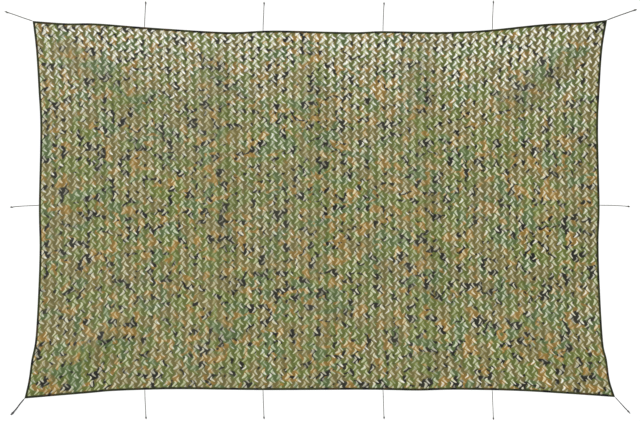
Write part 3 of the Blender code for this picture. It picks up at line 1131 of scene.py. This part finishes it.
def cloth_points(sizes, pulled):
    """Every mark's place in repeats, its lift and its painted light (above zero a painted highlight,
    below zero painted shade), at that share of the full gape.
    """
    random = np.random.default_rng(sizes.seed)
    columns = np.arange(-2, sizes.columns + 2)
    rows = np.arange(-2, sizes.rows + 2)
    corner = np.stack(np.meshgrid(columns, rows, indexing="ij"), axis=-1).astype(float)
    grid = corner.shape[:2]
    places = np.zeros((*grid, MARKS, 2))
    lift = np.zeros((*grid, MARKS))
    pale = np.zeros((*grid, MARKS))
    fixed = fixed_places()
    places[:, :, :FIXED_MARKS] = corner[:, :, None] + fixed
    rest = fixed_values(JOIN_LIFT, [ribbon[3] for ribbon in RIBBONS])
    lift[:, :, :FIXED_MARKS] = rest
    # Painted shade along the steep ribbons and at the joins
    pale[:, :, :FIXED_MARKS] = -fixed_values(JOIN_SHADE, [ribbon[4] for ribbon in RIBBONS])
    for number, slit in enumerate(SLITS):
        middle = corner + np.array(slit[0][1])
        s, t = middle[..., 0], middle[..., 1]
        flat = on_net(*shares_on_net(s, t, sizes))
        folded = fold_height(flat[..., 0], flat[..., 1]) / FOLD_REFERENCE
        widths = opening_map(s, t, sizes, folded) + random.normal(0.0, GAPE_SPREAD, grid)
        tilt = random.normal(0.0, TILT_SPREAD, grid)
        balance = np.clip(random.normal(0.5, BALANCE_SPREAD, grid), *BALANCE_RANGE)
        high_lift = random.uniform(*RAISED_RANGE, grid)
        low_lift = random.uniform(*LOW_RANGE, grid)
        lips, away, share, raised = slit_lip(slit, widths * pulled, tilt, balance)
        leaf = sizes.leaf * random.uniform(*LEAF_RANGE, grid)[..., None]
        rise = np.sin(math.pi * share) ** LIP_ROUND
        at_lip = np.where(raised, high_lift[..., None], low_lift[..., None]) * rise
        at_lip += TIP_LIFT * (1 - rise)
        bounds = field_places(slit[3])
        around = rest[[mark for mark, _ in field_marks(slit[3])]]
        # Strength of the leaves' painted highlight and of the painted shade beside them: stronger near
        # the top hem, weaker on folds
        near_top = ease(1 - (1 - t / sizes.rows) * PALE_TOP_FADE)
        paleness = random.uniform(*PALE_RANGE, grid) + PALE_TOP * near_top
        paleness *= 1 - PALE_FOLD * folded
        for ring, (beyond, out, part, ring_pale) in enumerate(LOOPS):
            first = FIXED_MARKS + (number * len(LOOPS) + ring) * ROUND_SLIT
            span = slice(first, first + ROUND_SLIT)
            own = lips + away * (leaf * beyond)[..., None]
            places[:, :, span] = corner[:, :, None] + own + (bounds - own) * out
            lift[:, :, span] = at_lip * part + around * (1 - part)
            pale[:, :, span] = ring_pale * paleness[..., None]
    return places, lift, pale


def cloth_faces(sizes):
    """All faces of the cloth as point numbers, and the column of repeats that each is in."""
    grid = (sizes.columns + 4, sizes.rows + 4)
    cells = [np.arange(1, count - 1) for count in grid]
    across, up = (cell.ravel() for cell in np.meshgrid(*cells, indexing="ij"))
    faces = []
    for face in repeat_faces():
        corners = []
        for mark, (x, y) in face:
            corners.append(((across + x) * grid[1] + up + y) * MARKS + mark)
        faces.append(np.stack(corners, axis=1))
    columns = np.tile(across - 2, len(faces))
    return np.concatenate(faces), columns


def trim_to_net(places, faces, columns, sizes):
    """Drops the faces that lie outside the net's edge, and ends the others at it."""
    limits = np.array((sizes.columns, sizes.rows), dtype=float)
    corners = places[faces]
    beyond = (corners <= 0).all(axis=1) | (corners >= limits).all(axis=1)
    keep = ~beyond.any(axis=1)
    return np.clip(places, 0.0, limits), faces[keep], columns[keep]


def point_normals(points, faces):
    """The normal at each point, from the faces round it."""
    a, b, c, d = (points[faces[:, k]] for k in range(4))
    normal = np.cross(c - a, d - b)
    total = np.zeros_like(points)
    for k in range(4):
        for axis in range(3):
            total[:, axis] += np.bincount(faces[:, k], weights=normal[:, axis], minlength=len(points))
    length = np.linalg.norm(total, axis=1)
    length[length == 0] = 1.0
    return total / length[:, None]


def cloth_mesh(name, points, normals, pale, maps, faces):
    """One panel of the cloth."""
    used, numbers = np.unique(faces, return_inverse=True)
    numbers = numbers.reshape(faces.shape)
    mesh = bpy.data.meshes.new(name)
    mesh.from_pydata(points[used].tolist(), [], numbers.tolist())
    for label, values in maps:
        layer = mesh.uv_layers.new(name=label)
        layer.uv.foreach_set("vector", values[faces.ravel()].astype(np.float32).ravel())
    # The painted light: a highlight on the leaves above zero, shade below it
    layer = mesh.attributes.new(name=LEAF_PAINTED_LIGHT, type="FLOAT", domain="POINT")
    layer.data.foreach_set("value", pale[used].astype(np.float32))
    mesh.shade_smooth()
    mesh.normals_split_custom_set_from_vertices(normals[used].tolist())
    return mesh


class NET_OT_cloth(bpy.types.Operator):
    """Spread the printed cloth with its slits pulled open"""

    bl_idname = "net.cloth"
    bl_label = "Cut cloth"

    def execute(self, context):
        sizes = context.scene.net_sizes
        material = printed_cloth(context.scene.net_colours)
        places, lift, pale = cloth_points(sizes, 1.0)
        places = places.reshape(-1, 2)
        lift = lift.ravel()
        pale = pale.ravel()
        spots = (places / WANDER_SIZE).T
        wander = [soft_noise(*spots, sizes.seed + k) for k in (1, 2, 3)]
        places = places + np.stack(wander[:2], axis=1) * WANDER
        faces, columns = cloth_faces(sizes)
        places, faces, columns = trim_to_net(places, faces, columns, sizes)
        s, t = places[:, 0], places[:, 1]
        flat = on_net(*shares_on_net(s, t, sizes))
        repeat = np.array((sizes.flat_repeat_x, sizes.flat_repeat_y))
        rim = np.minimum(np.minimum(s, sizes.columns - s), np.minimum(t, sizes.rows - t))
        rim = rim * float(repeat.mean())
        folds = fold_height(flat[:, 0], flat[:, 1]) * ease((rim - FOLD_CLEAR) / FOLD_FADE)
        free = ease((rim - RIM_HELD * sizes.tape_width) / (2 * sizes.tape_width))
        held = sizes.tape_height / 2
        rest = CLOTH_LOW + CLOTH_WAVE * (1 + wander[2]) * free
        lips = lift * sizes.lip * free * (1 - FOLD_FLATTENS * folds)
        height = folds + lips + rest + (held - rest) * (1 - free)
        points = np.column_stack([flat, height])
        normals = point_normals(points, faces)
        metres = cloth_points(sizes, AS_CUT)[0].reshape(-1, 2) * repeat
        panel_of = np.clip(columns * sizes.panels // sizes.columns, 0, sizes.panels - 1)
        for panel in range(sizes.panels):
            name = f"net_cloth_{panel + 1}"
            own = faces[panel_of == panel]
            here = metres[np.unique(own)]
            low = here.min(axis=0)
            span = float((here.max(axis=0) - low).max())
            even = (metres - low) / span * (1 - 2 * BAKE_MARGIN) + BAKE_MARGIN
            mesh = cloth_mesh(name, points, normals, pale, ((MAP, metres), (BAKE_MAP, even)), own)
            piece = add_piece(context, name, mesh, material)
            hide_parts("net")
        return {"FINISHED"}


class NET_PT_panel(bpy.types.Panel):
    """The net's sizes, colours and pieces"""

    bl_label = "Camouflage net"
    bl_idname = "NET_PT_panel"
    bl_space_type = "VIEW_3D"
    bl_region_type = "UI"
    bl_category = "Net"

    def draw(self, context):
        layout = self.layout
        for operator in OPERATORS:
            layout.operator(operator.bl_idname)
        for group in (context.scene.net_sizes, context.scene.net_colours):
            box = layout.box()
            for name in group.__annotations__:
                box.prop(group, name)


OPERATORS = (NET_OT_stage, NET_OT_ties, NET_OT_tape, NET_OT_stitches, NET_OT_cloth)
CLASSES = (NetSizes, NetColours, *OPERATORS, NET_PT_panel)


def register():
    for made in CLASSES:
        bpy.utils.register_class(made)
    bpy.types.Scene.net_sizes = PointerProperty(type=NetSizes)
    bpy.types.Scene.net_colours = PointerProperty(type=NetColours)


def unregister():
    del bpy.types.Scene.net_colours
    del bpy.types.Scene.net_sizes
    for made in reversed(CLASSES):
        bpy.utils.unregister_class(made)


def main():
    register()
    bpy.ops.net.stage()
    bpy.ops.net.ties()
    bpy.ops.net.tape()
    bpy.ops.net.stitches()
    bpy.ops.net.cloth()


if __name__ == "__main__":
    main()
